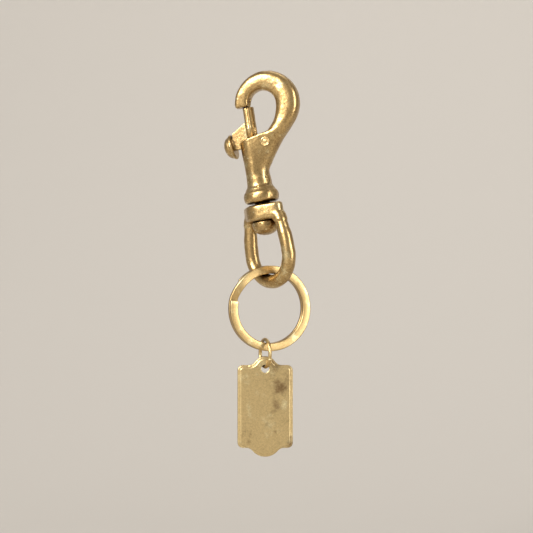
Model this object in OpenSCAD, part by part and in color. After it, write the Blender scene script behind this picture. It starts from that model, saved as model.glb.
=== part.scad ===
// Swivel snap hook in cast brass, hanging by its bow, with the split ring,
// jump ring and tag that it carries. Millimetres, Z up, gravity along -Z.
//
// The hook has a frame of its own: Z runs up the barrel, X points from the
// thumb button towards the back of the bow, and the origin is the middle of
// the bead. hook_frame() leans that frame to the angle at which the hook
// hangs and puts the top of the seat, where it hangs, at the origin.

/* [Bow] */
// Radius of the round seat inside the top of the bow
seat_r = 4.85; // [4.4:0.05:5.2]
// Distance of the seat's centre from the barrel's axis
seat_offset = 5.5; // [5.2:0.05:5.8]
// Radius of the long inner curve that runs from the seat to the barrel
throat_r = 12; // [11.4:0.1:12.8]
// Thickness of the bow over the seat, seen from the side
crown_t = 6.6; // [6.2:0.1:7.4]
// Thickness of the bow behind the seat
back_t = 8.4; // [7.8:0.1:9.2]
// Thickness of the bow at its nose
nose_t = 4.95; // [4.6:0.05:5.6]
// Width of the bow across the hook at its nose
nose_w = 6; // [5.4:0.1:6.6]
// Width of the bow across the hook over the seat
crown_w = 7; // [6.4:0.1:7.6]
// Width of the bow across the hook where its flank turns straight
flank_w = 7.4; // [7:0.1:7.8]
// Width of the bow across the hook where it meets the barrel
root_w = 7; // [6.4:0.1:7.2]
// Angle below the horizontal at which the back of the bow turns straight
flank_angle = 42; // [38:1:46]
// Length of the straight flank down to the barrel
flank_len = 20.5; // [19.5:0.5:21.5]

/* [Barrel] */
// Height of the barrel above the middle of the bead, at its axis
barrel_h = 20.2; // [19.7:0.25:21.7]
// Radius of the barrel at its mouth
mouth_r = 4.7; // [4.5:0.05:4.9]
// Radius of the barrel just above the bead
neck_r = 4.35; // [4.2:0.05:4.6]
// Slope of the barrel's mouth, up towards the bow
mouth_slope = 15.5; // [14:0.5:17]
// Depth by which the bow's web is thinner than the barrel on each side
web_step = 1.1; // [0.9:0.1:1.3]
// Largest radius of the bead
bead_r = 6.25; // [5.6:0.05:6.8]
// Height of the bead below its middle
bead_drop = 2.1; // [1.8:0.1:2.6]
// Height of the bead and its fillet above its middle
bead_rise = 3; // [2.6:0.1:3.4]
// Height of the bore's floor above the middle of the bead
bore_floor = 1; // [0.5:0.1:1.8]

/* [Bolt] */
// Radius of the sliding bolt
bolt_r = 1.95; // [1.8:0.05:2.1]
// Length of the bolt's rod
bolt_len = 15.2; // [14.4:0.2:16]
// Travel of the bolt when the thumb button is drawn back
travel = 10.4; // [9:0.2:10.8]
// Thickness of the fin that carries the thumb button
fin_t = 2.2; // [1.8:0.1:2.6]
// Height of the fin where it meets the button
fin_h = 5.8; // [5.2:0.1:6.2]
// Distance of the button's back face from the bolt's axis
button_reach = 6.9; // [6.6:0.1:7.6]
// Radius of the button's rim
button_r = 4.4; // [4:0.1:4.8]
// Thickness of the button's rim
rim_t = 1; // [0.8:0.1:1.3]
// Radius of the button's dome
dome_r = 3.9; // [3.4:0.1:4.1]
// Height of the button's dome over its rim
dome_h = 2.6; // [2:0.1:3]
// Forward lean of the button's face
button_lean = 8; // [0:1:12]

/* [Spring] */
// Radius of the bolt spring's wire
spring_wire_r = 0.22; // [0.18:0.01:0.26]
// Number of turns in the bolt spring
spring_turns = 9; // [7:1:10]

/* [Swivel] */
// Radius of the swivel post
post_r = 2.6; // [2.3:0.05:2.9]
// Largest radius of the post's peened head
head_r = 4.7; // [4.4:0.05:4.9]
// Height of the peened head
head_h = 5; // [4.6:0.1:5.6]
// Height of the collar on the post
collar_h = 5.7; // [5.2:0.1:6.4]
// Radius of the collar
collar_r = 5.9; // [5.5:0.05:6.2]
// Play of the collar between the bead and the head
end_play = 0.6; // [0.4:0.1:0.9]

/* [Eye] */
// Radius of the eye's round bar
eye_bar_r = 2.25; // [2.1:0.05:2.4]
// Radius of the eye's lower half, along the middle of its bar
eye_r = 9.5; // [9.2:0.1:10]
// Distance from the collar's middle down to the centre of that lower half
eye_drop = 14.9; // [14.2:0.1:16]
// Radius of the long curve of each arm
arm_r = 40; // [36:1:48]

/* [Split ring] */
// Outside diameter of the split ring
ring_d = 30; // [28:0.5:34]
// Width of the ring's strip, seen from the front
strip_w = 2.85; // [2.4:0.05:3.1]
// Thickness of each of the ring's two turns
strip_t = 1.45; // [1.2:0.05:1.6]
// Chamfer along the strip's edges
strip_chamfer = 0.25; // [0.15:0.05:0.35]
// Place of the front turn's cut end, round from the right
cut_angle = 169; // [160:1:175]
// Angle over which the strip steps from one turn to the other
step_angle = 30; // [24:1:36]

/* [Jump ring] */
// Radius of the jump ring, along the middle of its wire
jump_r = 4.8; // [4.6:0.05:5.2]
// Radius of the jump ring's wire
jump_wire_r = 0.62; // [0.5:0.02:0.7]
// Gap between the jump ring's closed ends, in degrees
jump_gap = 2; // [1:0.5:4]

/* [Tag] */
// Width of the tag
tag_w = 19.4; // [18:0.1:22]
// Height of the tag between its shoulders
tag_h = 29; // [26:0.5:32]
// Thickness of the tag at its border
tag_t = 1.4; // [1.2:0.1:1.8]
// Radius of the tag's corners
tag_corner = 1.9; // [1.5:0.1:2.4]
// Width of the tag's lower border round its raised panel
border_w = 0.95; // [0.7:0.05:1.2]
// Height of the raised panel over the border
panel_h = 0.2; // [0.1:0.05:0.3]
// Radius of the hump that holds the tag's hole
hump_r = 4.2; // [3.9:0.1:4.6]
// Radius of the hump at the tag's foot
foot_r = 5.8; // [5:0.1:6.2]
// How far the foot hump reaches below the shoulders
foot_drop = 3.1; // [2.8:0.1:3.5]
// Radius of the hollow that leads from a shoulder to a hump
hollow_r = 2.8; // [2.2:0.1:3.2]
// Radius of the tag's hole
hole_r = 1.4; // [1.3:0.05:1.6]

/* [Hanging pose] */
// Angle by which the hook leans from the vertical as it hangs
lean = 8.9; // [6:0.1:12]
// Angle of the eye's plane round the barrel's axis
eye_turn = -33; // [-60:1:60]
// Place round the eye's foot where the split ring hangs, off the lowest point
ring_slide = -7.5; // [-12:0.5:0]
// Angle of the split ring's plane round the vertical
ring_turn = 36; // [30:1:45]
// Angle round the split ring at which the jump ring hangs off the lowest point
jump_shift = -7; // [-9:1:0]
// Angle of the tag's plane round the vertical
tag_turn = 15; // [5:1:25]

/* [Clearances] */
// Radial clearance of the bolt in its bore
bolt_play = 0.1; // [0.06:0.02:0.16]
// Radial clearance of the post in the collar
post_play = 0.1; // [0.06:0.02:0.14]
// Clearance of the fin on each side of its slot
slot_play = 0.25; // [0.2:0.05:0.4]
// Gap that is left between pieces that touch or hang on each other
rest_gap = 0.15; // [0.1:0.05:0.2]

/* [Hidden] */
brass = [0.80, 0.63, 0.33];
steel = [0.72, 0.72, 0.70];
round_fn = 96;
seam_turn = 100;
eps = 0.05;

// Bow: the seat and throat arcs share one centre height, and the outer arc
// follows from the thicknesses round the seat.
throat_dip = 0.3;
seat_z = barrel_h + throat_r - throat_dip;
outer_r = (2 * seat_r + nose_t + back_t) / 2;
outer_x = seat_offset + (back_t - nose_t) / 2;
outer_z = seat_z + seat_r + crown_t - outer_r;
bow_sides = 32;
bow_step = 6;
relief_rise = 2.8;

// Bolt: its tip stops just under the nose.
bolt_tip_z = seat_z - rest_gap;
bolt_foot_z = bolt_tip_z - bolt_len;
bore_r = bolt_r + bolt_play;
fin_foot_z = bolt_foot_z + 1;
fin_rise = 4.3;
slot_w = fin_t + 2 * slot_play;
slot_round = slot_w / 2 - sqrt(pow(slot_w / 2, 2) - pow(fin_t / 2, 2));
slot_floor_z = fin_foot_z - travel - slot_play - slot_round;

// Swivel: the collar rests on the peened head, with its play above it.
collar_top_z = -bead_drop - end_play;
collar_foot_z = collar_top_z - collar_h;
head_top_z = collar_foot_z - rest_gap;
eye_z = (collar_top_z + collar_foot_z) / 2 - eye_drop;
root_reach = arm_reach((collar_top_z + collar_foot_z) / 2) - 0.15;

// Links: each one hangs from the lowest point of the bar above it.
ring_out_r = ring_d / 2;
ring_in_r = ring_out_r - strip_w;
turn_pitch = strip_t + 0.1;
ring_half_t = strip_t + 0.05;

// A point on an arc: centre, radius and angle in one plane.
function on_arc(c, r, a) = [c[0] + r * cos(a), c[1] + r * sin(a)];
function arc(c, r, from, to, n) = [for (i = [0:n]) on_arc(c, r, from + (to - from) * i / n)];
function mix(a, b, t) = a + (b - a) * t;
// Reads a value off a line of [place, value] pairs.
function along(pairs, x) =
    let (last = len(pairs) - 1)
    x <= pairs[0][0] ? pairs[0][1] :
    x >= pairs[last][0] ? pairs[last][1] :
    let (i = max([for (k = [0:last - 1]) if (pairs[k][0] <= x) k]))
    mix(pairs[i][1], pairs[i + 1][1], (x - pairs[i][0]) / (pairs[i + 1][0] - pairs[i][0]));

// Joins rings of points, each with as many points as the next, into a solid.
// Flat ends are single faces; the ends of a skin in a slanting plane are fans.
module skin(rings, fan = false) {
    n = len(rings[0]);
    last = len(rings) - 1;
    polyhedron(
        points = [for (ring = rings) each ring],
        faces = concat(
            fan ? [for (j = [1:n - 2]) [0, j, j + 1]] : [[for (j = [0:n - 1]) j]],
            [for (i = [0:last - 1]) for (j = [0:n - 1])
                let (k = (j + 1) % n)
                each [[i * n + j, (i + 1) * n + j, (i + 1) * n + k],
                      [i * n + j, (i + 1) * n + k, i * n + k]]],
            fan ? [for (j = [1:n - 2]) [last * n, last * n + j + 1, last * n + j]] :
                [[for (j = [n - 1:-1:0]) last * n + j]]
        ),
        convexity = 10
    );
}

// Leans the hook's own frame to its hanging angle, with the seat at the origin.
module hook_frame() {
    translate([0, 0, -seat_r]) rotate([0, -lean, 0]) translate([-seat_offset, 0, -seat_z]) children();
}
function hook_point(p) =
    let (x = p[0] - seat_offset, z = p[2] - seat_z)
    [x * cos(lean) - z * sin(lean), p[1], x * sin(lean) + z * cos(lean) - seat_r];

// The outer and inner lines of the bow, as points in the hook's plane. s runs
// from 0 at the nose to 180 at the back, and then down the flank to 260.
flank_from = 180 + flank_angle;
bow_end = 258;
function bow_outer(s) =
    s <= flank_from ? on_arc([outer_x, outer_z], outer_r, 180 - s) :
    let (
        start = on_arc([outer_x, outer_z], outer_r, -flank_angle),
        run = flank_len * (s - flank_from) / (bow_end - flank_from)
    )
    [start[0] - run * sin(flank_angle), start[1] - run * cos(flank_angle)];
function bow_inner(s) =
    s <= 180 ? on_arc([seat_offset, seat_z], seat_r, 180 - s) :
    on_arc([seat_offset + seat_r - throat_r, seat_z], throat_r, -90 * (s - 180) / (bow_end - 180));
function bow_width(s) = along([[0, nose_w], [90, crown_w], [flank_from, flank_w], [bow_end, root_w]], s);
function bow_power(s) = along([[0, 4.5], [50, 3], [100, 2.7], [bow_end, 2.7]], s);
// The nose closes with a rounded edge over its first few degrees.
function nose_round(s) = s >= 8 ? 1 : 0.74 + 0.26 * sqrt(1 - pow(1 - s / 8, 2));
function rounded(c, p) = sign(c) * pow(abs(c), 2 / p);
function bow_ring(s) =
    let (
        o = bow_outer(s),
        i = bow_inner(s),
        mid = (o + i) / 2,
        half = (o - i) / 2 * nose_round(s),
        w = bow_width(s) / 2 * nose_round(s)
    )
    [for (k = [0:bow_sides - 1])
        let (
            a = 360 * (k + 0.5) / bow_sides,
            u = rounded(cos(a), bow_power(s)),
            v = rounded(sin(a), bow_power(s))
        )
        [mid[0] + half[0] * u, -w * v, mid[1] + half[1] * u]];
bow_places = concat([0, 0.8, 2.4, 4.8, 8], [for (s = [12:bow_step:bow_end - 1]) s], [bow_end]);

module bow() {
    skin([for (s = bow_places) bow_ring(s)], fan = true);
}

// Foot of the barrel and the bead, turned in one profile.
neck_z = 7;
module barrel_foot() {
    rotate([0, 0, seam_turn]) rotate_extrude($fn = round_fn)
        polygon(concat(
            [[0, neck_z], [neck_r, neck_z], [neck_r, bead_rise + 1.6]],
            [for (a = [80:-20:20]) [neck_r + 0.9 - 0.9 * sin(a), bead_rise + 1.6 - 1.6 * cos(a)]],
            [for (a = [60:-12:-60])
                [mix(neck_r, bead_r, pow(cos(a), 0.6)), (a > 0 ? bead_rise * 0.75 : bead_drop) * sin(a)]],
            [[bead_r - 1.3, -bead_drop], [0, -bead_drop]]
        ));
}

// The barrel above its foot opens into the web of the bow: a round section at
// the bottom, and at the sloping mouth a long one that reaches the bow's back.
neck_turns = [0, 0.14, 0.27, 0.4, 0.5, 0.6, 0.7, 0.8, 0.9, 0.96, 1];
mouth_left = barrel_h - mouth_r * tan(mouth_slope) + 0.45;
function neck_left(t) = [-along([[0, neck_r - 0.07], [0.14, neck_r - 0.05], [1, mouth_r]], t), mix(neck_z - 2, mouth_left, t)];
function neck_right(t) =
    let (
        back = bow_outer(flank_from),
        drop = mix(21, 0.3, (t - 0.4) / 0.6)
    )
    t < 0.4 ? [neck_r - along([[0, 0.2], [0.27, 0.3], [0.4, -0.35]], t), mix(neck_z - 2, neck_z + 4, t / 0.4)] :
    [back[0] - 0.35 - drop * along([[0, sin(flank_angle)], [21, 0.5]], drop),
     back[1] - 0.15 - drop * along([[0, cos(flank_angle)], [21, 0.65]], drop)];
function neck_ring(t, inset = 0, lift = 0) =
    let (
        a0 = neck_left(t) + [0, lift],
        b0 = neck_right(t) + [0, lift],
        dir = (b0 - a0) / norm(b0 - a0),
        ra = -neck_left(t)[0] - inset,
        rb = along([[0, neck_r - 0.2], [0.4, neck_r - 0.5], [1, mouth_r - web_step]], t) - inset,
        ca = a0 + dir * (ra + inset),
        cb = b0 - dir * (rb + inset)
    )
    [for (k = [0:bow_sides - 1])
        let (
            a = 360 * (k + 0.5) / bow_sides,
            c = cos(a) > 0 ? cb : ca,
            r = cos(a) > 0 ? rb : ra
        )
        [c[0] + dir[0] * r * cos(a), r * sin(a), c[1] + dir[1] * r * cos(a)]];

module neck() {
    skin(concat(
        [for (t = neck_turns) neck_ring(t)],
        [neck_ring(1, 0.12, 0.3), neck_ring(1, 0.45, 0.45)]
    ), fan = true);
}

// Swivel post, with the button head that its end was peened into.
module post() {
    top = head_top_z;
    foot = head_top_z - head_h;
    translate([0, 0, top - eps]) cylinder(r = post_r, h = -bead_drop - top + 2 * eps, $fn = round_fn);
    rotate_extrude($fn = round_fn)
        polygon(concat(
            [[0, top], [head_r - 0.6, top]],
            arc([head_r - 0.6, top - 0.6], 0.6, 90, 0, 4),
            [for (a = [0:15:90]) [head_r * cos(a), mix(top - 1.6, foot, sin(a))]]
        ));
}

module bore() {
    translate([0, 0, bore_floor]) rotate([0, 0, seam_turn])
        cylinder(r = bore_r, h = barrel_h - bore_floor + 2.5, $fn = round_fn);
}

// Slot for the bolt's fin, open at the mouth and round at its foot.
module fin_slot() {
    foot = slot_floor_z + slot_w / 2;
    depth = mouth_r + 1;
    translate([-depth, -slot_w / 2, foot]) cube([depth, slot_w, barrel_h - foot + 1]);
    translate([-depth, 0, foot]) rotate([0, 90, 0]) cylinder(d = slot_w, h = depth, $fn = 48);
}

// Groove that the bore's drill left on the inner side of the nose.
module drill_relief() {
    translate([seat_offset - seat_r + bore_r - 0.6, 0, seat_z - 1])
        cylinder(r = bore_r, h = relief_rise + 1, $fn = 48);
}

module hook_body() {
    color(brass) hook_frame() difference() {
        union() {
            barrel_foot();
            neck();
            bow();
            post();
        }
        bore();
        fin_slot();
        drill_relief();
    }
}

// Thumb button, turned about X with its face towards -X.
module button() {
    rotate([0, -90, 0]) rotate_extrude($fn = 72)
        polygon(concat(
            [[0, 0], [button_r - 0.35, 0]],
            arc([button_r - 0.35, 0.35], 0.35, -90, 0, 3),
            arc([button_r - 0.35, rim_t - 0.35], 0.35, 0, 90, 3),
            [[dome_r + 0.05, rim_t - 0.12], [dome_r, rim_t]],
            [for (a = [10:10:90]) [dome_r * cos(a), rim_t + dome_h * sin(a)]]
        ));
}

module fin() {
    button_z = fin_foot_z + fin_h / 2;
    rotate([90, 0, 0]) linear_extrude(height = fin_t, center = true)
        polygon([
            [0, fin_foot_z],
            [-button_reach - 0.2, fin_foot_z],
            [-button_reach - 0.2, button_z + fin_h / 2],
            [0, fin_foot_z + fin_h + fin_rise]
        ]);
}

module bolt() {
    button_z = fin_foot_z + 0.24 * fin_h;
    color(brass) hook_frame() {
        translate([0, 0, bolt_foot_z]) rotate_extrude($fn = round_fn)
            polygon([
                [0, 0],
                [bolt_r - 0.2, 0],
                [bolt_r, 0.2],
                [bolt_r, bolt_len - 0.25],
                [bolt_r - 0.25, bolt_len],
                [0, bolt_len]
            ]);
        fin();
        translate([-button_reach, 0, button_z]) rotate([0, -button_lean, 0]) button();
    }
}

// Compression spring between the bore's floor and the bolt, with flat end turns.
module bolt_spring() {
    coil_r = bore_r - spring_wire_r - 0.12;
    room = bolt_foot_z - bore_floor - 2 * spring_wire_r - 0.1;
    per_turn = 12;
    stations = spring_turns * per_turn;
    color(steel) hook_frame() translate([0, 0, bore_floor + spring_wire_r + 0.05])
        skin([for (i = [0:stations])
            let (
                t = i / stations,
                a = 360 * spring_turns * t,
                closed = 1 / spring_turns,
                squeeze = 2 * spring_wire_r * 1.15,
                rise = along([[0, 0], [closed, squeeze], [1 - closed, room - squeeze], [1, room]], t)
            )
            [for (k = [0:5])
                let (r = coil_r + spring_wire_r * cos(60 * k))
                [r * cos(a), r * sin(a), rise - spring_wire_r * sin(60 * k)]]]);
}

// Eye: a collar on the post that widens into the roots of two arms, which
// meet in a round foot. It is drawn in the eye's own plane.
module collar_plan(inset) {
    hull() {
        circle(r = collar_r - inset, $fn = 64);
        for (side = [-1, 1]) translate([side * root_reach, 0]) circle(r = eye_bar_r - inset, $fn = 64);
    }
}
module collar() {
    edge = 0.5;
    translate([0, 0, collar_foot_z]) {
        linear_extrude(height = collar_h) collar_plan(edge);
        translate([0, 0, edge / 2]) linear_extrude(height = collar_h - edge) collar_plan(edge * 0.3);
        translate([0, 0, edge]) linear_extrude(height = collar_h - 2 * edge) collar_plan(0);
    }
}

function arm_reach(z) = eye_r - arm_r + sqrt(arm_r * arm_r - pow(z - eye_z, 2));

module arm() {
    root_z = collar_foot_z + 1.5;
    sweep = asin((root_z - eye_z) / arm_r);
    translate([eye_r - arm_r, 0, eye_z]) rotate([90, 0, 0])
        rotate_extrude(angle = sweep, $fn = 360) translate([arm_r, 0]) circle(r = eye_bar_r, $fn = 48);
}

module eye_foot() {
    translate([0, 0, eye_z]) rotate([-90, 0, 0])
        rotate_extrude(angle = 180, $fn = 180) translate([eye_r, 0]) circle(r = eye_bar_r, $fn = 48);
}

module swivel_eye() {
    color(brass) hook_frame() rotate([0, 0, eye_turn]) difference() {
        union() {
            collar();
            arm();
            mirror([1, 0, 0]) arm();
            eye_foot();
        }
        translate([0, 0, collar_foot_z - 1])
            cylinder(r = post_r + post_play, h = collar_h + 3, $fn = round_fn);
    }
}

// Point of the eye's bar that carries the ring: the eye's plane is tilted by the lean.
eye_tilt = atan2(cos(eye_turn) * sin(lean), cos(lean)) - ring_slide;
eye_low_u = -eye_r * sin(eye_tilt);
eye_low = hook_point([
    eye_low_u * cos(eye_turn),
    eye_low_u * sin(eye_turn),
    eye_z - eye_r * cos(eye_tilt)
]);
ring_c = eye_low + [0, 0, eye_bar_r + 3 * rest_gap - ring_in_r];

module ring_frame() {
    translate(ring_c) rotate([0, 0, ring_turn]) children();
}
function ring_point(p) = ring_c + [
    p[0] * cos(ring_turn) - p[1] * sin(ring_turn),
    p[0] * sin(ring_turn) + p[1] * cos(ring_turn),
    p[2]
];

// Split ring: a flat strip wound twice, with a step where it changes turn.
module split_ring() {
    from = cut_angle;
    to = cut_angle - step_angle + 720;
    n = 132;
    w = strip_w / 2;
    t = strip_t / 2;
    c = strip_chamfer;
    mid_r = ring_in_r + w;
    section = [[-w + c, -t], [w - c, -t], [w, -t + c], [w, t - c],
               [w - c, t], [-w + c, t], [-w, t - c], [-w, -t + c]];
    color(brass) ring_frame() skin([for (i = [0:n])
        let (
            a = mix(from, to, i / n),
            step = (a - (cut_angle - step_angle + 360)) / step_angle,
            s = min(max(step, 0), 1),
            y = turn_pitch * (s * s * (3 - 2 * s) - 0.5)
        )
        [for (p = section)
            [(mid_r + p[0]) * cos(a), y + p[1], (mid_r + p[0]) * sin(a)]]]);
}

// Jump ring: hangs round the strip at the foot of the split ring.
strip_half_diag = norm([ring_half_t - strip_chamfer, strip_w / 2]);
jump_in_r = jump_r - jump_wire_r;
jump_drop = jump_in_r - strip_half_diag - 0.06;
strip_low = ring_point([
    (ring_in_r + strip_w / 2) * sin(jump_shift),
    0,
    -(ring_in_r + strip_w / 2) * cos(jump_shift)
]);
jump_c = strip_low - [0, 0, jump_drop];

module jump_ring() {
    color(brass) translate(jump_c) rotate([0, 0, ring_turn + 90]) rotate([90, 0, 0])
        rotate([0, 0, 200]) rotate_extrude(angle = 360 - jump_gap, $fn = 120)
            translate([jump_r, 0]) circle(r = jump_wire_r, $fn = 32);
}

// Tag: its outline is worked out for any inset, so that the border, panel and
// edges are true offsets of each other. The hole's centre is the origin.
hole_drop = hole_r - jump_wire_r - rest_gap;
tag_o = jump_c - [0, 0, jump_r + hole_drop];
shoulder_z = 1.3;
hump_z = 0.2;
foot_z = shoulder_z - tag_h;

// Half of one end's line, from the shoulder to the tip of the hump.
function ogee(r, c, h, f) =
    let (
        x = sqrt(pow(r + f, 2) - pow(h + f - c, 2)),
        a = atan2(h + f - c, x)
    )
    concat(arc([x, h + f], f, -90, a - 180, 7), arc([0, c], r, a, 90, 9));
function tag_outline(d) =
    let (
        side = tag_w / 2 - tag_corner,
        r = tag_corner - d,
        head = ogee(hump_r - d, hump_z, shoulder_z - d, hollow_r + d),
        foot = [for (p = ogee(foot_r - d, foot_drop - foot_r, -d, hollow_r + d)) [p[0], foot_z - p[1]]],
        right = concat(
            [for (i = [len(foot) - 1:-1:0]) foot[i]],
            arc([side, foot_z + tag_corner], r, -90, 0, 6),
            arc([side, shoulder_z - tag_corner], r, 0, 90, 6),
            head
        ),
        n = len(right)
    )
    concat(right, [for (i = [n - 2:-1:1]) [-right[i][0], right[i][1]]]);
function tag_ring(d, y) = [for (p = tag_outline(d)) [p[0], y, p[1]]];

module tag() {
    edge = 0.3;
    half = tag_t / 2;
    face = half + panel_h;
    color(brass) translate(tag_o) rotate([0, 0, tag_turn]) difference() {
        skin([
            tag_ring(border_w + panel_h, face),
            tag_ring(border_w, half),
            tag_ring(edge, half),
            tag_ring(0, half - edge),
            tag_ring(0, -half + edge),
            tag_ring(edge, -half),
            tag_ring(border_w, -half),
            tag_ring(border_w + panel_h, -face)
        ]);
        rotate([90, 0, 0]) cylinder(r = hole_r, h = 4 * tag_t, center = true, $fn = 64);
    }
}

hook_body();
bolt();
bolt_spring();
swivel_eye();
split_ring();
jump_ring();
tag();
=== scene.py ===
"""Swivel snap hook in tumbled cast brass, with its split ring, jump ring and plain tag.

The script is laid out as a Blender add-on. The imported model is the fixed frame:
each piece is made from a copy of its node, the castings are softened as tumbling
softens them, and the round boss is modelled on top.
"""

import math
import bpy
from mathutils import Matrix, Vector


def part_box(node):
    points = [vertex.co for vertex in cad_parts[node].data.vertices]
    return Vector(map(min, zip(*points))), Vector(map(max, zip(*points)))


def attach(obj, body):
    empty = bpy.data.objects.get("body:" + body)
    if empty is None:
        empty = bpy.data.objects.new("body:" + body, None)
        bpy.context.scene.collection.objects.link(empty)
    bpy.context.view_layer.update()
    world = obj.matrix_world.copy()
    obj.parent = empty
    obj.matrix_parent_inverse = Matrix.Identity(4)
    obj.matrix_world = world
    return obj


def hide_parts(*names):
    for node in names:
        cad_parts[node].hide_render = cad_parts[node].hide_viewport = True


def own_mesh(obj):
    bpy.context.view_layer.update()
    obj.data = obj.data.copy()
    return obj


bl_info = {
    "name": "Swivel snap hook",
    "version": (1, 0, 0),
    "blender": (4, 5, 0),
    "location": "View3D > Sidebar > Snap hook",
    "description": "Dresses the packed snap hook in tumbled, tarnished brass",
    "category": "Add Mesh",
}

import bmesh
import bpy
from bpy.props import FloatProperty, IntProperty, PointerProperty, StringProperty
from mathutils import Vector, noise

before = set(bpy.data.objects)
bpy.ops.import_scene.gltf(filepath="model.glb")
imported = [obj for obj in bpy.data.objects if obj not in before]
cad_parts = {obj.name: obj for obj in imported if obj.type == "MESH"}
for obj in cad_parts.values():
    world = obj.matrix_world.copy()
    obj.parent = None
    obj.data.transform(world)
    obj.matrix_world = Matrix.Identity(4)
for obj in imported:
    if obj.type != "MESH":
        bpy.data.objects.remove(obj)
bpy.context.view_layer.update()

MM = 0.001

# The hook's own frame, as in the part's source: Z up the barrel, X towards the back of
# the bow, origin in the middle of the bead. The seat is the arc that the hook hangs by.
LEAN = math.radians(8.9)
SEAT_X, SEAT_Z, SEAT_R = 5.5, 31.9, 4.85
RING_TURN = math.radians(36)
TAG_TURN = math.radians(15)

# Between these heights and within this radius of the axis, the post and its head turn in the collar.
BEARING_FOOT, BEARING_TOP, BEARING_R = -13.0, -1.7, 5.0
# Within the first radius lies the bore of the barrel, and past the second the collar's outside.
BORE_R, COLLAR_R = 3.0, 4.6


def hook_to_model(x, y, z):
    """A point of the hook's own frame, in millimetres, as a point of the model in metres."""
    dx, dz = x - SEAT_X, z - SEAT_Z
    return Vector(
        (
            (dx * math.cos(LEAN) - dz * math.sin(LEAN)) * MM,
            y * MM,
            (dx * math.sin(LEAN) + dz * math.cos(LEAN) - SEAT_R) * MM,
        )
    )


def model_to_hook(point):
    """The other way round: a point of the model in metres as millimetres in the hook's frame."""
    x, z = point.x / MM, point.z / MM + SEAT_R
    return Vector(
        (
            x * math.cos(LEAN) + z * math.sin(LEAN) + SEAT_X,
            point.y / MM,
            -x * math.sin(LEAN) + z * math.cos(LEAN) + SEAT_Z,
        )
    )


def facing(turn):
    """The level axis through a flat piece, front to back, when it is turned from the front."""
    return Vector((-math.sin(turn), math.cos(turn), 0.0))


BARREL_AXIS = (hook_to_model(0, 0, 1) - hook_to_model(0, 0, 0)).normalized()


# Settings


class SnapHookSizes(bpy.types.PropertyGroup):
    """Sizes of the castings' finish and of the boss"""

    casting_grid: FloatProperty(
        name="Casting grid",
        description="Spacing of the fine grid that the castings are rebuilt on",
        default=0.0002,
        min=0.00015,
        max=0.0004,
        unit="LENGTH",
        precision=5,
    )
    small_grid: FloatProperty(
        name="Fine grid",
        description="Spacing of the grid for the bolt and the eye",
        default=0.00015,
        min=0.0001,
        max=0.0003,
        unit="LENGTH",
        precision=5,
    )
    tumbling: IntProperty(
        name="Tumbling",
        description="How many times the castings' corners are softened",
        default=7,
        min=0,
        max=20,
    )
    seam_height: FloatProperty(
        name="Parting seam",
        description="Height of the seam where the two halves of the mould met",
        default=0.00012,
        min=0.0,
        max=0.0003,
        unit="LENGTH",
        precision=5,
    )
    wander: FloatProperty(
        name="Casting wander",
        description="How far the cast surfaces wander from a true form",
        default=0.00011,
        min=0.0,
        max=0.0003,
        unit="LENGTH",
        precision=5,
    )
    boss_radius: FloatProperty(
        name="Boss radius",
        description="Radius of the plain round boss on the web of the bow",
        default=0.0016,
        min=0.001,
        max=0.002,
        unit="LENGTH",
        precision=5,
    )


class SnapHookColours(bpy.types.PropertyGroup):
    """Colours of the metals and of the board"""

    rubbed: StringProperty(
        name="Rubbed brass",
        description="Brass where it is rubbed bright, as an sRGB hex value",
        default="#f2e4b2",
    )
    brass: StringProperty(
        name="Brass",
        description="The body colour of the aged brass",
        default="#cfb076",
    )
    tarnish: StringProperty(
        name="Tarnish",
        description="The brown tarnish in hollows and blotches",
        default="#6b4a22",
    )
    steel: StringProperty(
        name="Spring steel",
        description="Colour of the spring's drawn wire",
        default="#9c9a96",
    )
    board: StringProperty(
        name="Board",
        description="Colour of the plain floor and sweep",
        default="#cbc6bf",
    )


class SnapHookStage(bpy.types.PropertyGroup):
    """Where the camera stands and what it takes in"""

    azimuth: FloatProperty(
        name="Camera azimuth",
        description="Turn of the camera round the vertical, from the hook's own face",
        default=math.radians(15),
        subtype="ANGLE",
    )
    distance: FloatProperty(
        name="Camera distance",
        description="Distance from the camera to the object",
        default=0.7,
        min=0.3,
        max=2.0,
        unit="LENGTH",
    )
    frame_size: FloatProperty(
        name="Frame size",
        description="Height that the picture takes in at the object",
        default=0.18655,
        min=0.1,
        max=0.4,
        unit="LENGTH",
        precision=5,
    )


# Materials


def linear(hex_colour):
    """Turns an sRGB hex value into the linear colour that a shader takes."""
    out = []
    for i in (1, 3, 5):
        c = int(hex_colour[i : i + 2], 16) / 255
        out.append(c / 12.92 if c <= 0.04045 else ((c + 0.055) / 1.055) ** 2.4)
    return (*out, 1.0)


def blend(first, second, share):
    """The colour that lies a share of the way from the first to the second."""
    return tuple(a + (b - a) * share for a, b in zip(first, second))


def darker(colour, *shares):
    """A colour with its red, green and blue each brought down to a share."""
    return (*(part * share for part, share in zip(colour, shares)), 1.0)


def node(tree, kind, inputs=(), stops=(), **properties):
    """Adds a node with its properties, and sets or links its inputs.

    inputs are by name or in order, each a fixed value or the socket that it comes from.
    stops are (place, colour) pairs for a node that holds a colour ramp.
    """
    made = tree.nodes.new(kind)
    for key, value in properties.items():
        setattr(made, key, value)
    for key, value in inputs.items() if isinstance(inputs, dict) else enumerate(inputs):
        if isinstance(value, bpy.types.NodeSocket):
            tree.links.new(value, made.inputs[key])
        else:
            made.inputs[key].default_value = value
    for i, (place, colour) in enumerate(stops):
        elements = made.color_ramp.elements
        element = elements[i] if i < len(elements) else elements.new(place)
        element.position, element.color = place, colour
    return made


def new_material(name):
    """An empty material, its node tree, and the piece's own coordinates in it."""
    material = bpy.data.materials.new(name)
    material.use_nodes = True
    tree = material.node_tree
    tree.nodes.clear()
    return material, tree, node(tree, "ShaderNodeTexCoord").outputs["Object"]


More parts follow.
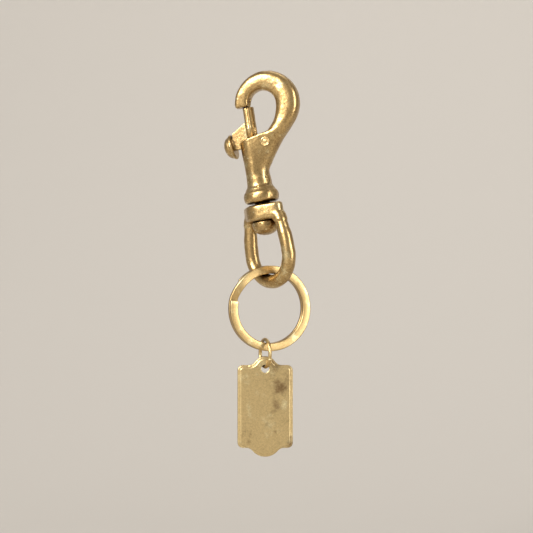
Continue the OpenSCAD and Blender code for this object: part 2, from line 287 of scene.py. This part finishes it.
# A Mix node's sockets for colours share their names with others, so they go by their place.
FACTOR, FIRST, SECOND, MIXED = 0, 6, 7, 2


def tarnished_brass(
    name, blotch, grain, rough, bump, speckled, hollows=0.85, stained=0.0, tone_shift=0.0, nook=2.0
):
    """Brass that has been tumbled or rolled, then handled: bright where rubbed, brown in hollows.

    In millimetres, blotch and grain are the real sizes of the tarnish blotches and of the
    surface grain, bump is the depth of the grain, and nook is the width of the hollows that
    keep their tarnish. rough is the lowest and the highest roughness. speckled, hollows and
    stained say how dark the mottling, the hollows and the stains are. tone_shift is how far
    the whole of it is moved towards the tarnish or, below nothing, towards the rubbed brass;
    on the split ring's walls this darkening is painted shade.
    """
    colours = bpy.context.scene.snaphook_colours
    rubbed, brass, tarnish = linear(colours.rubbed), linear(colours.brass), linear(colours.tarnish)
    # Moves the whole brass towards the tarnish or the rubbed brass; on the strip's walls this darkening
    # is painted shade.
    towards = tarnish if tone_shift > 0.0 else rubbed
    brass, rubbed = blend(brass, towards, abs(tone_shift)), blend(rubbed, towards, abs(tone_shift))
    speck, stain, pit = 0.11 * blotch, 1.8 * blotch, 3.2 * grain
    material, tree, coord = new_material(name)
    # Broad clouds of tarnish, where hands and air have browned the brass.
    clouds = node(
        tree, "ShaderNodeTexNoise",
        {"Vector": coord, "Scale": 1000 / blotch, "Detail": 6.0, "Roughness": 0.6},
    )
    # Mottling about half a millimetre across, left where the tumbling stones didn't reach.
    mottle = node(
        tree, "ShaderNodeTexNoise",
        {"Vector": coord, "Scale": 1000 / speck, "Detail": 5.0, "Roughness": 0.8},
    )
    # The grain of the surface itself, drawn a little coarser than it is so that it shows.
    fine = node(
        tree, "ShaderNodeTexNoise",
        {"Vector": coord, "Scale": 1000 / grain, "Detail": 4.0, "Roughness": 0.6},
    )
    pits = node(tree, "ShaderNodeTexVoronoi", {"Vector": coord, "Scale": 1000 / pit})

    tone = node(
        tree, "ShaderNodeValToRGB", {"Fac": clouds.outputs["Fac"]},
        stops=((0.24, blend(brass, tarnish, 0.55)), (0.40, brass), (0.56, brass), (0.74, rubbed)),
    )
    # Each map range takes its value, the two ends that it runs between, and what they become.
    dots = node(tree, "ShaderNodeMapRange", (mottle.outputs["Fac"], 0.36, 0.60, speckled, 0.0))
    layers = [(dots, tarnish)]
    if stained:
        # Dark brown stains with ragged edges, from handling.
        stains = node(
            tree, "ShaderNodeTexNoise",
            {"Vector": coord, "Scale": 1000 / stain, "Detail": 9.0, "Roughness": 0.66},
        )
        patch = node(tree, "ShaderNodeMapRange", (stains.outputs["Fac"], 0.33, 0.45, stained, 0.0))
        layers.append((patch, darker(tarnish, 0.85, 0.68, 0.75)))
    # Tarnish stays in the hollows, where nothing rubs it away.
    shelter = node(tree, "ShaderNodeAmbientOcclusion", {"Distance": nook * MM}, samples=8)
    hollow = node(tree, "ShaderNodeMapRange", (shelter.outputs["AO"], 0.3, 0.9, hollows, 0.0))
    layers.append((hollow, darker(tarnish, 0.6, 0.6, 0.6)))
    # Edges and corners are rubbed bright.
    edge = node(tree, "ShaderNodeNewGeometry")
    worn = node(tree, "ShaderNodeMapRange", (edge.outputs["Pointiness"], 0.515, 0.58, 0.0, 0.75))
    layers.append((worn, rubbed))
    colour = tone.outputs["Color"]
    for amount, over in layers:
        mix = node(
            tree, "ShaderNodeMix",
            {FACTOR: amount.outputs["Result"], FIRST: colour, SECOND: over}, data_type="RGBA",
        )
        colour = mix.outputs[MIXED]

    low, high = rough
    sheen = node(tree, "ShaderNodeMapRange", (mottle.outputs["Fac"], 0.3, 0.7, high, low))
    grainy = node(
        tree, "ShaderNodeBump",
        {"Height": fine.outputs["Fac"], "Strength": 0.3, "Distance": bump * MM},
    )
    pitted = node(
        tree, "ShaderNodeBump",
        {
            "Height": pits.outputs["Distance"],
            "Normal": grainy.outputs["Normal"],
            "Strength": 0.2,
            "Distance": bump * MM,
        },
    )
    # The coat is a thin film of wax and oil from handling, which whitens the brightest highlights.
    skin = node(
        tree, "ShaderNodeBsdfPrincipled",
        {
            "Base Color": colour,
            "Roughness": sheen.outputs["Result"],
            "Normal": pitted.outputs["Normal"],
            "Metallic": 1.0,
            "Coat Weight": 0.3,
            "Coat Roughness": 0.3,
        },
    )
    node(tree, "ShaderNodeOutputMaterial", {"Surface": skin.outputs["BSDF"]})
    return material


def cast_brass(name, blotch):
    """Sand-cast yellow brass, tumbled: wide satin highlights over a mottled, slightly rough skin."""
    return tarnished_brass(
        name, blotch, grain=0.35, rough=(0.24, 0.38), bump=0.035,
        speckled=0.75, hollows=0.95, stained=0.25,
    )


def rolled_brass(name):
    """Rolled brass strip: smoother than a casting, with thin tarnish."""
    return tarnished_brass(name, blotch=3.6, grain=0.3, rough=(0.32, 0.46), bump=0.012, speckled=0.3)


def brass_in_painted_shade(name):
    """The strip's edge walls: the same brass, browner, darker and more speckled, as painted shade on
    the walls.
    """
    return tarnished_brass(
        name, blotch=3.6, grain=0.3, rough=(0.30, 0.44), bump=0.02,
        speckled=0.75, hollows=0.9, tone_shift=0.55,
    )


def drawn_brass(name):
    """Drawn brass wire: bright on its outside, tarnished where it rubs nothing."""
    return tarnished_brass(name, blotch=2.4, grain=0.2, rough=(0.26, 0.40), bump=0.01, speckled=0.35)


def satin_brass(name):
    """Brass plate with a satin face: wide, soft highlights and stains from handling."""
    return tarnished_brass(
        name, blotch=5.5, grain=0.3, rough=(0.30, 0.44), bump=0.02,
        speckled=0.32, hollows=1.0, stained=0.7, tone_shift=-0.3, nook=0.7,
    )


def spring_steel(name):
    """Hard-drawn spring steel wire: grey, smooth, with fine marks from the drawing die."""
    material, tree, coord = new_material(name)
    steel = linear(bpy.context.scene.snaphook_colours.steel)
    mark = 0.3
    marks = node(tree, "ShaderNodeTexNoise", {"Vector": coord, "Scale": 1000 / mark, "Detail": 3.0})
    tone = node(
        tree, "ShaderNodeValToRGB", {"Fac": marks.outputs["Fac"]},
        stops=((0.35, darker(steel, 0.7, 0.7, 0.7)), (0.65, steel)),
    )
    skin = node(
        tree, "ShaderNodeBsdfPrincipled",
        {"Base Color": tone.outputs["Color"], "Metallic": 1.0, "Roughness": 0.28},
    )
    node(tree, "ShaderNodeOutputMaterial", {"Surface": skin.outputs["BSDF"]})
    return material


def painted_board(name):
    """Matt painted board: a plain ground with a faint roller texture."""
    material, tree, coord = new_material(name)
    stipple = 4.0
    roller = node(tree, "ShaderNodeTexNoise", {"Vector": coord, "Scale": 1000 / stipple, "Detail": 3.0})
    nap = node(
        tree, "ShaderNodeBump",
        {"Height": roller.outputs["Fac"], "Strength": 0.2, "Distance": 0.05 * MM},
    )
    board = linear(bpy.context.scene.snaphook_colours.board)
    skin = node(
        tree, "ShaderNodeBsdfPrincipled",
        {"Base Color": board, "Roughness": 0.85, "Normal": nap.outputs["Normal"]},
    )
    node(tree, "ShaderNodeOutputMaterial", {"Surface": skin.outputs["BSDF"]})
    return material


# Modelling helpers


def nothing_selected():
    """Deselects everything, so that an operator acts only on what is taken up next."""
    bpy.ops.object.select_all(action="DESELECT")


def take_up(obj):
    """Makes one object the only selected and active one."""
    nothing_selected()
    obj.select_set(True)
    bpy.context.view_layer.objects.active = obj


def merged_copy(node_name, piece_name):
    """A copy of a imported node's mesh, taken up, with its loose triangles joined up."""
    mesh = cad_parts[node_name].data.copy()
    mesh.materials.clear()
    piece = bpy.data.objects.new(piece_name, mesh)
    bpy.context.scene.collection.objects.link(piece)
    take_up(piece)
    bpy.ops.object.mode_set(mode="EDIT")
    bpy.ops.mesh.select_all(action="SELECT")
    bpy.ops.mesh.remove_doubles(threshold=0.002 * MM)
    bpy.ops.object.mode_set(mode="OBJECT")
    return piece


def apply_modifier(piece, kind, **values):
    """Adds a modifier to the active piece, sets its values and applies it."""
    modifier = piece.modifiers.new(kind.lower(), kind)
    for key, value in values.items():
        setattr(modifier, key, value)
    bpy.ops.object.modifier_apply(modifier=modifier.name)


def round_edges(piece, segments):
    """Takes the sharpness off a piece's edges."""
    apply_modifier(
        piece, "BEVEL",
        width=0.09 * MM, segments=segments, limit_method="ANGLE", angle_limit=math.radians(30),
    )


def rebuild_as_casting(piece, grid, rounds):
    """Rebuilds a piece on an even grid and softens every corner, as tumbling does."""
    take_up(piece)
    piece.data.remesh_voxel_size = grid
    piece.data.remesh_voxel_adaptivity = 0.0
    piece.data.use_remesh_preserve_volume = False
    bpy.ops.object.voxel_remesh()
    if rounds:
        apply_modifier(piece, "SMOOTH", factor=0.5, iterations=rounds)
    bpy.ops.object.shade_smooth()


def soften_joint(piece, weight, rounds):
    """Flows metal into a joint: smooths a casting where weight(point) is above nothing."""
    take_up(piece)
    group = piece.vertex_groups.new(name="joint")
    for vertex in piece.data.vertices:
        share = weight(vertex.co)
        if share > 0.01:
            group.add([vertex.index], min(1.0, share), "REPLACE")
    apply_modifier(piece, "SMOOTH", vertex_group=group.name, factor=0.5, iterations=rounds)
    piece.vertex_groups.clear()


def rise_and_fall(value, low, high=math.inf, edge=1.0):
    """1 between low and high, falling to 0 over an edge on each side."""
    return max(0.0, min(1.0, (value - low) / edge + 1.0, (high - value) / edge + 1.0))


def from_axis(local):
    """How far a point of the hook's own frame is from the barrel's axis."""
    return math.hypot(local.x, local.y)


def waves(point, size, finer, share):
    """Slow waves of a size, with a share of finer ones in them."""
    place = point / size
    return noise.noise(place) + share * noise.noise(place * finer)


def move_points(piece, shift):
    """Moves every point by the vector that shift(point, normal) gives, in metres."""
    mesh = piece.data
    before = [(vertex.co.copy(), vertex.normal.copy()) for vertex in mesh.vertices]
    flat = []
    for point, normal in before:
        flat.extend(point + shift(point, normal))
    mesh.vertices.foreach_set("co", flat)
    mesh.update()


def wander_surface(piece, height, size):
    """Lets a surface wander in slow waves, as a cast one does, but not where it turns on another."""

    def wave(point, normal):
        local = model_to_hook(point)
        if BEARING_FOOT < local.z < BEARING_TOP and from_axis(local) < BEARING_R:
            return Vector()
        return normal * (0.6 * height * waves(point, size, finer=2.7, share=0.4))

    move_points(piece, wave)


def finish_piece(piece, body, replaced, material):
    """Gives a piece its material and its body, and hides the node that it stands for."""
    piece.data.materials.clear()
    piece.data.materials.append(material)
    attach(piece, body)
    if replaced:
        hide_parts(replaced)
    nothing_selected()


# Operators


class SNAPHOOK_OT_hook_body(bpy.types.Operator):
    """Cast the bow, barrel, bead and swivel post in one piece"""

    bl_idname = "snaphook.hook_body"
    bl_label = "Hook casting"

    def execute(self, context):
        sizes = context.scene.snaphook_sizes
        piece = merged_copy("hook_body", "hook_casting")
        rebuild_as_casting(piece, sizes.casting_grid, sizes.tumbling)
        soften_joint(piece, neck_weight, rounds=90)
        wander_surface(piece, sizes.wander, size=3.2 * MM)
        raise_parting_seam(piece, sizes.seam_height)
        roughen_neck(piece, height=0.09 * MM)
        brass = cast_brass("tumbled_cast_brass", blotch=5.0)
        finish_piece(piece, body="hook", replaced="hook_body", material=brass)
        return {"FINISHED"}


def neck_weight(point):
    """Where the barrel, its foot and the web of the bow run into each other, outside the bore."""
    local = model_to_hook(point)
    if from_axis(local) <= BORE_R:
        return 0.0
    barrel = rise_and_fall(local.z, low=4.0, high=12.5, edge=1.0)
    up_web = rise_and_fall(local.z, low=15.0, high=26.0, edge=3.0)
    along_web = rise_and_fall(local.x, low=6.5, high=17.0, edge=2.0)
    return max(barrel, up_web * along_web)


def raise_parting_seam(piece, height):
    """Raises the seam of the mould along the bow's outer edge, broken as a fettled seam is."""
    half_width, sway = 0.32, 0.25
    opening_x, opening_z, opening_r = 6.0, 31.0, 6.4

    def seam(point, normal):
        local = model_to_hook(point)
        on_bow = local.z > 9.0 and (local.x > 2.5 or local.z > opening_z)
        from_opening = math.hypot(local.x - opening_x, local.z - opening_z)
        inside_bow = local.z > 22.0 and from_opening < opening_r
        faces_sideways = normal.y**2 > 0.3
        if not on_bow or inside_bow or faces_sideways:
            return Vector()
        middle = sway * noise.noise(point / (4 * MM))
        band = math.exp(-(((local.y - middle) / half_width) ** 2))
        along = noise.noise(Vector((local.x, 0.0, local.z)) * 0.35)
        return normal * (height * band * max(0.0, 0.45 + 1.3 * along))

    move_points(piece, seam)


def roughen_neck(piece, height):
    """Leaves the sand's rough skin behind the neck, where the runner was broken off."""

    def skin(point, normal):
        local = model_to_hook(point)
        share = rise_and_fall(local.z, low=4.6, high=15.5, edge=1.5)
        share *= rise_and_fall(local.x, low=3.2, high=12.0, edge=0.9)
        share *= rise_and_fall(local.y, low=-1.5, high=1.5, edge=0.9)
        faces_back = normal.x >= 0.2
        if share <= 0.0 or not faces_back:
            return Vector()
        return normal * (height * share * (waves(point, 0.65 * MM, finer=2.3, share=0.5) + 0.2))

    move_points(piece, skin)


class SNAPHOOK_OT_web_boss(bpy.types.Operator):
    """Model the plain round boss that stands on the web of the bow"""

    bl_idname = "snaphook.web_boss"
    bl_label = "Web boss"

    def execute(self, context):
        boss_x, boss_z, clear_of_web = 5.3, 18.6, -20.0
        in_front = hook_to_model(boss_x, clear_of_web, boss_z)
        casting = bpy.data.objects["hook_casting"]
        found, place, _, _ = casting.ray_cast(in_front, (0, 1, 0))
        if not found:
            raise RuntimeError("the web's face isn't where the boss stands")
        nothing_selected()
        bpy.ops.mesh.primitive_cylinder_add(
            vertices=48,
            radius=context.scene.snaphook_sizes.boss_radius,
            depth=0.5 * MM,
            location=place,
            rotation=(math.radians(90), 0, 0),
        )
        piece = bpy.context.object
        piece.name = "web_boss"
        bpy.ops.object.transform_apply(location=True, rotation=True, scale=True)
        bpy.ops.object.mode_set(mode="EDIT")
        bpy.ops.mesh.select_all(action="DESELECT")
        face_front(piece)
        rim, wall, groove = 0.35 * MM, 0.12 * MM, 0.45 * MM
        sunk, raised = 0.14 * MM, 0.12 * MM
        bpy.ops.mesh.inset(thickness=rim, depth=0.0)
        bpy.ops.mesh.inset(thickness=wall, depth=-sunk)
        bpy.ops.mesh.inset(thickness=groove, depth=0.0)
        bpy.ops.mesh.inset(thickness=wall, depth=raised)
        bpy.ops.object.mode_set(mode="OBJECT")
        round_edges(piece, segments=3)
        bpy.ops.object.shade_smooth_by_angle(angle=math.radians(50))
        brass = bpy.data.materials["tumbled_cast_brass"]
        finish_piece(piece, body="hook", replaced=None, material=brass)
        return {"FINISHED"}


def face_front(piece):
    """Selects the face that looks out to the front, in edit mode."""
    mesh = bmesh.from_edit_mesh(piece.data)
    for face in mesh.faces:
        face.select_set(face.normal.y < -0.9)
    bmesh.update_edit_mesh(piece.data)


class SNAPHOOK_OT_bolt(bpy.types.Operator):
    """Cast the sliding bolt with its fin and thumb button"""

    bl_idname = "snaphook.bolt"
    bl_label = "Bolt"

    def execute(self, context):
        sizes = context.scene.snaphook_sizes
        finest_grid = 0.1 * MM
        piece = merged_copy("bolt", "bolt_casting")
        rebuild_as_casting(piece, max(finest_grid, 0.8 * sizes.small_grid), rounds=12)
        wander_surface(piece, 0.6 * sizes.wander, size=2.4 * MM)
        brass = cast_brass("tumbled_bolt_brass", blotch=4.0)
        finish_piece(piece, body="bolt", replaced="bolt", material=brass)
        return {"FINISHED"}


class SNAPHOOK_OT_bolt_spring(bpy.types.Operator):
    """Wind the spring that pushes the bolt against the nose"""

    bl_idname = "snaphook.bolt_spring"
    bl_label = "Bolt spring"

    def execute(self, context):
        piece = merged_copy("bolt_spring", "bolt_spring_wire")
        apply_modifier(piece, "SUBSURF", levels=1, render_levels=1)
        bpy.ops.object.shade_smooth()
        steel = spring_steel("drawn_spring_steel")
        finish_piece(piece, body="hook", replaced="bolt_spring", material=steel)
        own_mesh(piece)
        return {"FINISHED"}


class SNAPHOOK_OT_swivel_eye(bpy.types.Operator):
    """Cast the collar and the round-bar eye in one piece"""

    bl_idname = "snaphook.swivel_eye"
    bl_label = "Swivel eye"

    def execute(self, context):
        sizes = context.scene.snaphook_sizes
        piece = merged_copy("swivel_eye", "swivel_eye_casting")
        rebuild_as_casting(piece, sizes.small_grid, sizes.tumbling)
        soften_joint(piece, shoulder_weight, rounds=110)
        fill_out_eye(piece, round_collar=0.32 * MM, round_bar=0.17 * MM)
        wander_surface(piece, sizes.wander, size=3.0 * MM)
        brass = cast_brass("tumbled_eye_brass", blotch=4.4)
        finish_piece(piece, body="eye", replaced="swivel_eye", material=brass)
        return {"FINISHED"}


def shoulder_weight(point):
    """Where the arms of the eye grow out of its collar."""
    local = model_to_hook(point)
    up_collar = rise_and_fall(local.z, low=-11.5, high=-1.0, edge=2.5)
    return up_collar * rise_and_fall(from_axis(local), low=COLLAR_R, edge=1.2)


def fill_out_eye(piece, round_collar, round_bar):
    """Fills the collar out sideways and the bar all round, as the casting's loose mould left them."""

    def swell(point, normal):
        local = model_to_hook(point)
        collar = rise_and_fall(local.z, low=-9.0, high=-2.0, edge=0.8)
        collar *= rise_and_fall(from_axis(local), low=COLLAR_R, edge=0.6)
        bar = 1.0 - rise_and_fall(local.z, low=-12.0, edge=2.0)
        sideways = normal - BARREL_AXIS * normal.dot(BARREL_AXIS)
        return sideways * (round_collar * collar) + normal * (round_bar * bar)

    move_points(piece, swell)


class SNAPHOOK_OT_split_ring(bpy.types.Operator):
    """Wind the split ring from flat strip, twice round"""

    bl_idname = "snaphook.split_ring"
    bl_label = "Split ring"

    def execute(self, context):
        piece = merged_copy("split_ring", "split_ring_strip")
        round_edges(piece, segments=2)
        bpy.ops.object.shade_smooth_by_angle(angle=math.radians(40))
        brass = rolled_brass("rolled_brass_strip")
        finish_piece(piece, body="ring", replaced="split_ring", material=brass)
        # The strip's inner and outer walls get a darker, browner copy of the brass: painted shade on
        # the walls, while the faces keep the plain brass.
        piece.data.materials.append(brass_in_painted_shade("painted_shade_wall_brass"))
        ring_axis, flat_of_strip = facing(RING_TURN), 0.6
        for face in piece.data.polygons:
            if abs(face.normal.dot(ring_axis)) < flat_of_strip:
                face.material_index = 1
        return {"FINISHED"}


class SNAPHOOK_OT_jump_ring(bpy.types.Operator):
    """Bend the jump ring from round wire"""

    bl_idname = "snaphook.jump_ring"
    bl_label = "Jump ring"

    def execute(self, context):
        piece = merged_copy("jump_ring", "jump_ring_wire")
        bpy.ops.object.shade_smooth_by_angle(angle=math.radians(60))
        brass = drawn_brass("drawn_brass_wire")
        finish_piece(piece, body="jump", replaced="jump_ring", material=brass)
        return {"FINISHED"}


class SNAPHOOK_OT_tag(bpy.types.Operator):
    """Stamp the plain tag with its raised panel"""

    bl_idname = "snaphook.tag"
    bl_label = "Tag"

    def execute(self, context):
        piece = merged_copy("tag", "tag_plate")
        rebuild_as_casting(piece, context.scene.snaphook_sizes.small_grid, rounds=2)
        raise_panel(piece, height=0.09 * MM)
        brass = satin_brass("satin_brass_plate")
        finish_piece(piece, body="tag", replaced="tag", material=brass)
        return {"FINISHED"}


def raise_panel(piece, height):
    """Stamps the tag's panels a little prouder of their border, and dishes them by a hair."""
    across = facing(TAG_TURN)
    low_corner, high_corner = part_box("tag")
    middle = (Vector(low_corner) + Vector(high_corner)) / 2
    panel_depth = 0.86 * MM

    def lift(point, normal):
        faces_out = abs(normal.dot(across)) > 0.5
        if not faces_out:
            return Vector()
        share = rise_and_fall(abs((point - middle).dot(across)), low=panel_depth, edge=0.08 * MM)
        dish = 0.05 * MM * noise.noise(point / (7 * MM))
        return normal * (share * (height + dish))

    move_points(piece, lift)


class SNAPHOOK_OT_stage(bpy.types.Operator):
    """Set out the plain sweep, the soft lights and the camera"""

    bl_idname = "snaphook.stage"
    bl_label = "Stage"

    def execute(self, context):
        build_sweep()
        build_lights()
        build_camera()
        context.scene.view_settings.view_transform = "Standard"
        return {"FINISHED"}


def build_sweep():
    """A floor that curves up into a backdrop, drawn out from one edge in steps."""
    width, depth, middle_y, floor_z = 4.0, 1.6, -0.6, -0.19
    radius, steps, wall_height = 0.5, 16, 1.6
    nothing_selected()
    bpy.ops.mesh.primitive_plane_add(size=1.0, location=(0, 0, 0))
    sweep = bpy.context.object
    sweep.name = "sweep"
    bpy.ops.object.mode_set(mode="EDIT")
    bpy.ops.mesh.select_all(action="SELECT")
    bpy.ops.transform.resize(value=(width, depth, 1.0))
    bpy.ops.transform.translate(value=(0, middle_y, floor_z))
    bpy.ops.mesh.select_all(action="DESELECT")
    mesh = bmesh.from_edit_mesh(sweep.data)
    back = max(vertex.co.y for vertex in mesh.verts)
    for edge in mesh.edges:
        edge.select_set(all(math.isclose(vertex.co.y, back, abs_tol=1e-5) for vertex in edge.verts))
    bmesh.update_edit_mesh(sweep.data)
    for i in range(steps):
        here, there = (math.pi / 2) * i / steps, (math.pi / 2) * (i + 1) / steps
        outwards = radius * (math.sin(there) - math.sin(here))
        upwards = radius * (math.cos(here) - math.cos(there))
        shift = (0, outwards, upwards)
        bpy.ops.mesh.extrude_region_move(TRANSFORM_OT_translate={"value": shift})
    bpy.ops.mesh.extrude_region_move(TRANSFORM_OT_translate={"value": (0, 0, wall_height)})
    bpy.ops.object.mode_set(mode="OBJECT")
    bpy.ops.object.shade_smooth()
    sweep.data.materials.append(painted_board("matt_painted_board"))


def soft_box(name, place, size, watts, tint):
    """One soft lamp, turned to face the middle of the object."""
    middle = Vector((0, 0, -0.05))
    data = bpy.data.lights.new(name, "AREA")
    data.shape = "RECTANGLE"
    data.size, data.size_y = size
    data.energy = watts
    data.color = linear(tint)[:3]
    lamp = bpy.data.objects.new(name, data)
    bpy.context.scene.collection.objects.link(lamp)
    lamp.location = place
    lamp.rotation_euler = (middle - Vector(place)).to_track_quat("-Z", "Y").to_euler()


def build_lights():
    """A large soft lamp up to the left, a tall one to the right, and a quiet one from the top."""
    soft_box("key_lamp", place=(-0.45, -0.88, 0.48), size=(0.58, 0.68), watts=16.8, tint="#fffcf8")
    soft_box("side_lamp", place=(0.85, -0.30, 0.05), size=(0.2, 1.0), watts=6.2, tint="#fffdfa")
    soft_box("top_lamp", place=(0.1, 0.35, 0.9), size=(0.7, 0.4), watts=1.5, tint="#ffffff")
    world = bpy.data.worlds.new("studio_air")
    bpy.context.scene.world = world
    world.use_nodes = True
    tree = world.node_tree
    tree.nodes.clear()
    # Past the sweep, the eye and the metal see the same pale ground; it lights the object only softly.
    as_light, as_ground = 0.25, 0.6
    seen = node(tree, "ShaderNodeLightPath")
    direct = node(
        tree, "ShaderNodeMath",
        (seen.outputs["Is Camera Ray"], seen.outputs["Is Glossy Ray"]), operation="MAXIMUM",
    )
    either = node(
        tree, "ShaderNodeMath",
        (direct.outputs[0], seen.outputs["Is Transmission Ray"]), operation="MAXIMUM",
    )
    strength = node(tree, "ShaderNodeMapRange", (either.outputs[0], 0.0, 1.0, as_light, as_ground))
    air = node(
        tree, "ShaderNodeBackground",
        {"Color": linear("#d8d4ce"), "Strength": strength.outputs["Result"]},
    )
    node(tree, "ShaderNodeOutputWorld", {"Surface": air.outputs["Background"]})


def build_camera():
    """The camera stands level with the middle of the object, a little to its right."""
    stage = bpy.context.scene.snaphook_stage
    sensor, aim_right, aim_height = 36.0, 0.00126, -0.0616
    data = bpy.data.cameras.new("camera")
    data.sensor_width = sensor
    data.lens = sensor * stage.distance / stage.frame_size
    data.clip_start = 0.01
    camera = bpy.data.objects.new("camera", data)
    bpy.context.scene.collection.objects.link(camera)
    right = Vector((math.cos(stage.azimuth), math.sin(stage.azimuth), 0))
    away = Vector((math.sin(stage.azimuth), -math.cos(stage.azimuth), 0))
    camera.location = right * aim_right + Vector((0, 0, aim_height)) + away * stage.distance
    camera.rotation_euler = (-away).to_track_quat("-Z", "Y").to_euler()
    bpy.context.scene.camera = camera


class SNAPHOOK_PT_panel(bpy.types.Panel):
    """Lists the settings and the steps"""

    bl_idname = "SNAPHOOK_PT_panel"
    bl_label = "Swivel snap hook"
    bl_space_type = "VIEW_3D"
    bl_region_type = "UI"
    bl_category = "Snap hook"

    def draw(self, context):
        scene = context.scene
        for group in (scene.snaphook_sizes, scene.snaphook_colours, scene.snaphook_stage):
            box = self.layout.box()
            for key in group.__annotations__:
                box.prop(group, key)
        for step in STEPS:
            self.layout.operator(step.bl_idname)


STEPS = (
    SNAPHOOK_OT_hook_body,
    SNAPHOOK_OT_web_boss,
    SNAPHOOK_OT_bolt,
    SNAPHOOK_OT_bolt_spring,
    SNAPHOOK_OT_swivel_eye,
    SNAPHOOK_OT_split_ring,
    SNAPHOOK_OT_jump_ring,
    SNAPHOOK_OT_tag,
    SNAPHOOK_OT_stage,
)
CLASSES = (SnapHookSizes, SnapHookColours, SnapHookStage, *STEPS, SNAPHOOK_PT_panel)


def register():
    for cls in CLASSES:
        bpy.utils.register_class(cls)
    bpy.types.Scene.snaphook_sizes = PointerProperty(type=SnapHookSizes)
    bpy.types.Scene.snaphook_colours = PointerProperty(type=SnapHookColours)
    bpy.types.Scene.snaphook_stage = PointerProperty(type=SnapHookStage)


def unregister():
    del bpy.types.Scene.snaphook_stage
    del bpy.types.Scene.snaphook_colours
    del bpy.types.Scene.snaphook_sizes
    for cls in reversed(CLASSES):
        bpy.utils.unregister_class(cls)


def main():
    """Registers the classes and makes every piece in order."""
    register()
    bpy.ops.snaphook.hook_body()
    bpy.ops.snaphook.web_boss()
    bpy.ops.snaphook.bolt()
    bpy.ops.snaphook.bolt_spring()
    bpy.ops.snaphook.swivel_eye()
    bpy.ops.snaphook.split_ring()
    bpy.ops.snaphook.jump_ring()
    bpy.ops.snaphook.tag()
    bpy.ops.snaphook.stage()


if __name__ == "__main__":
    main()
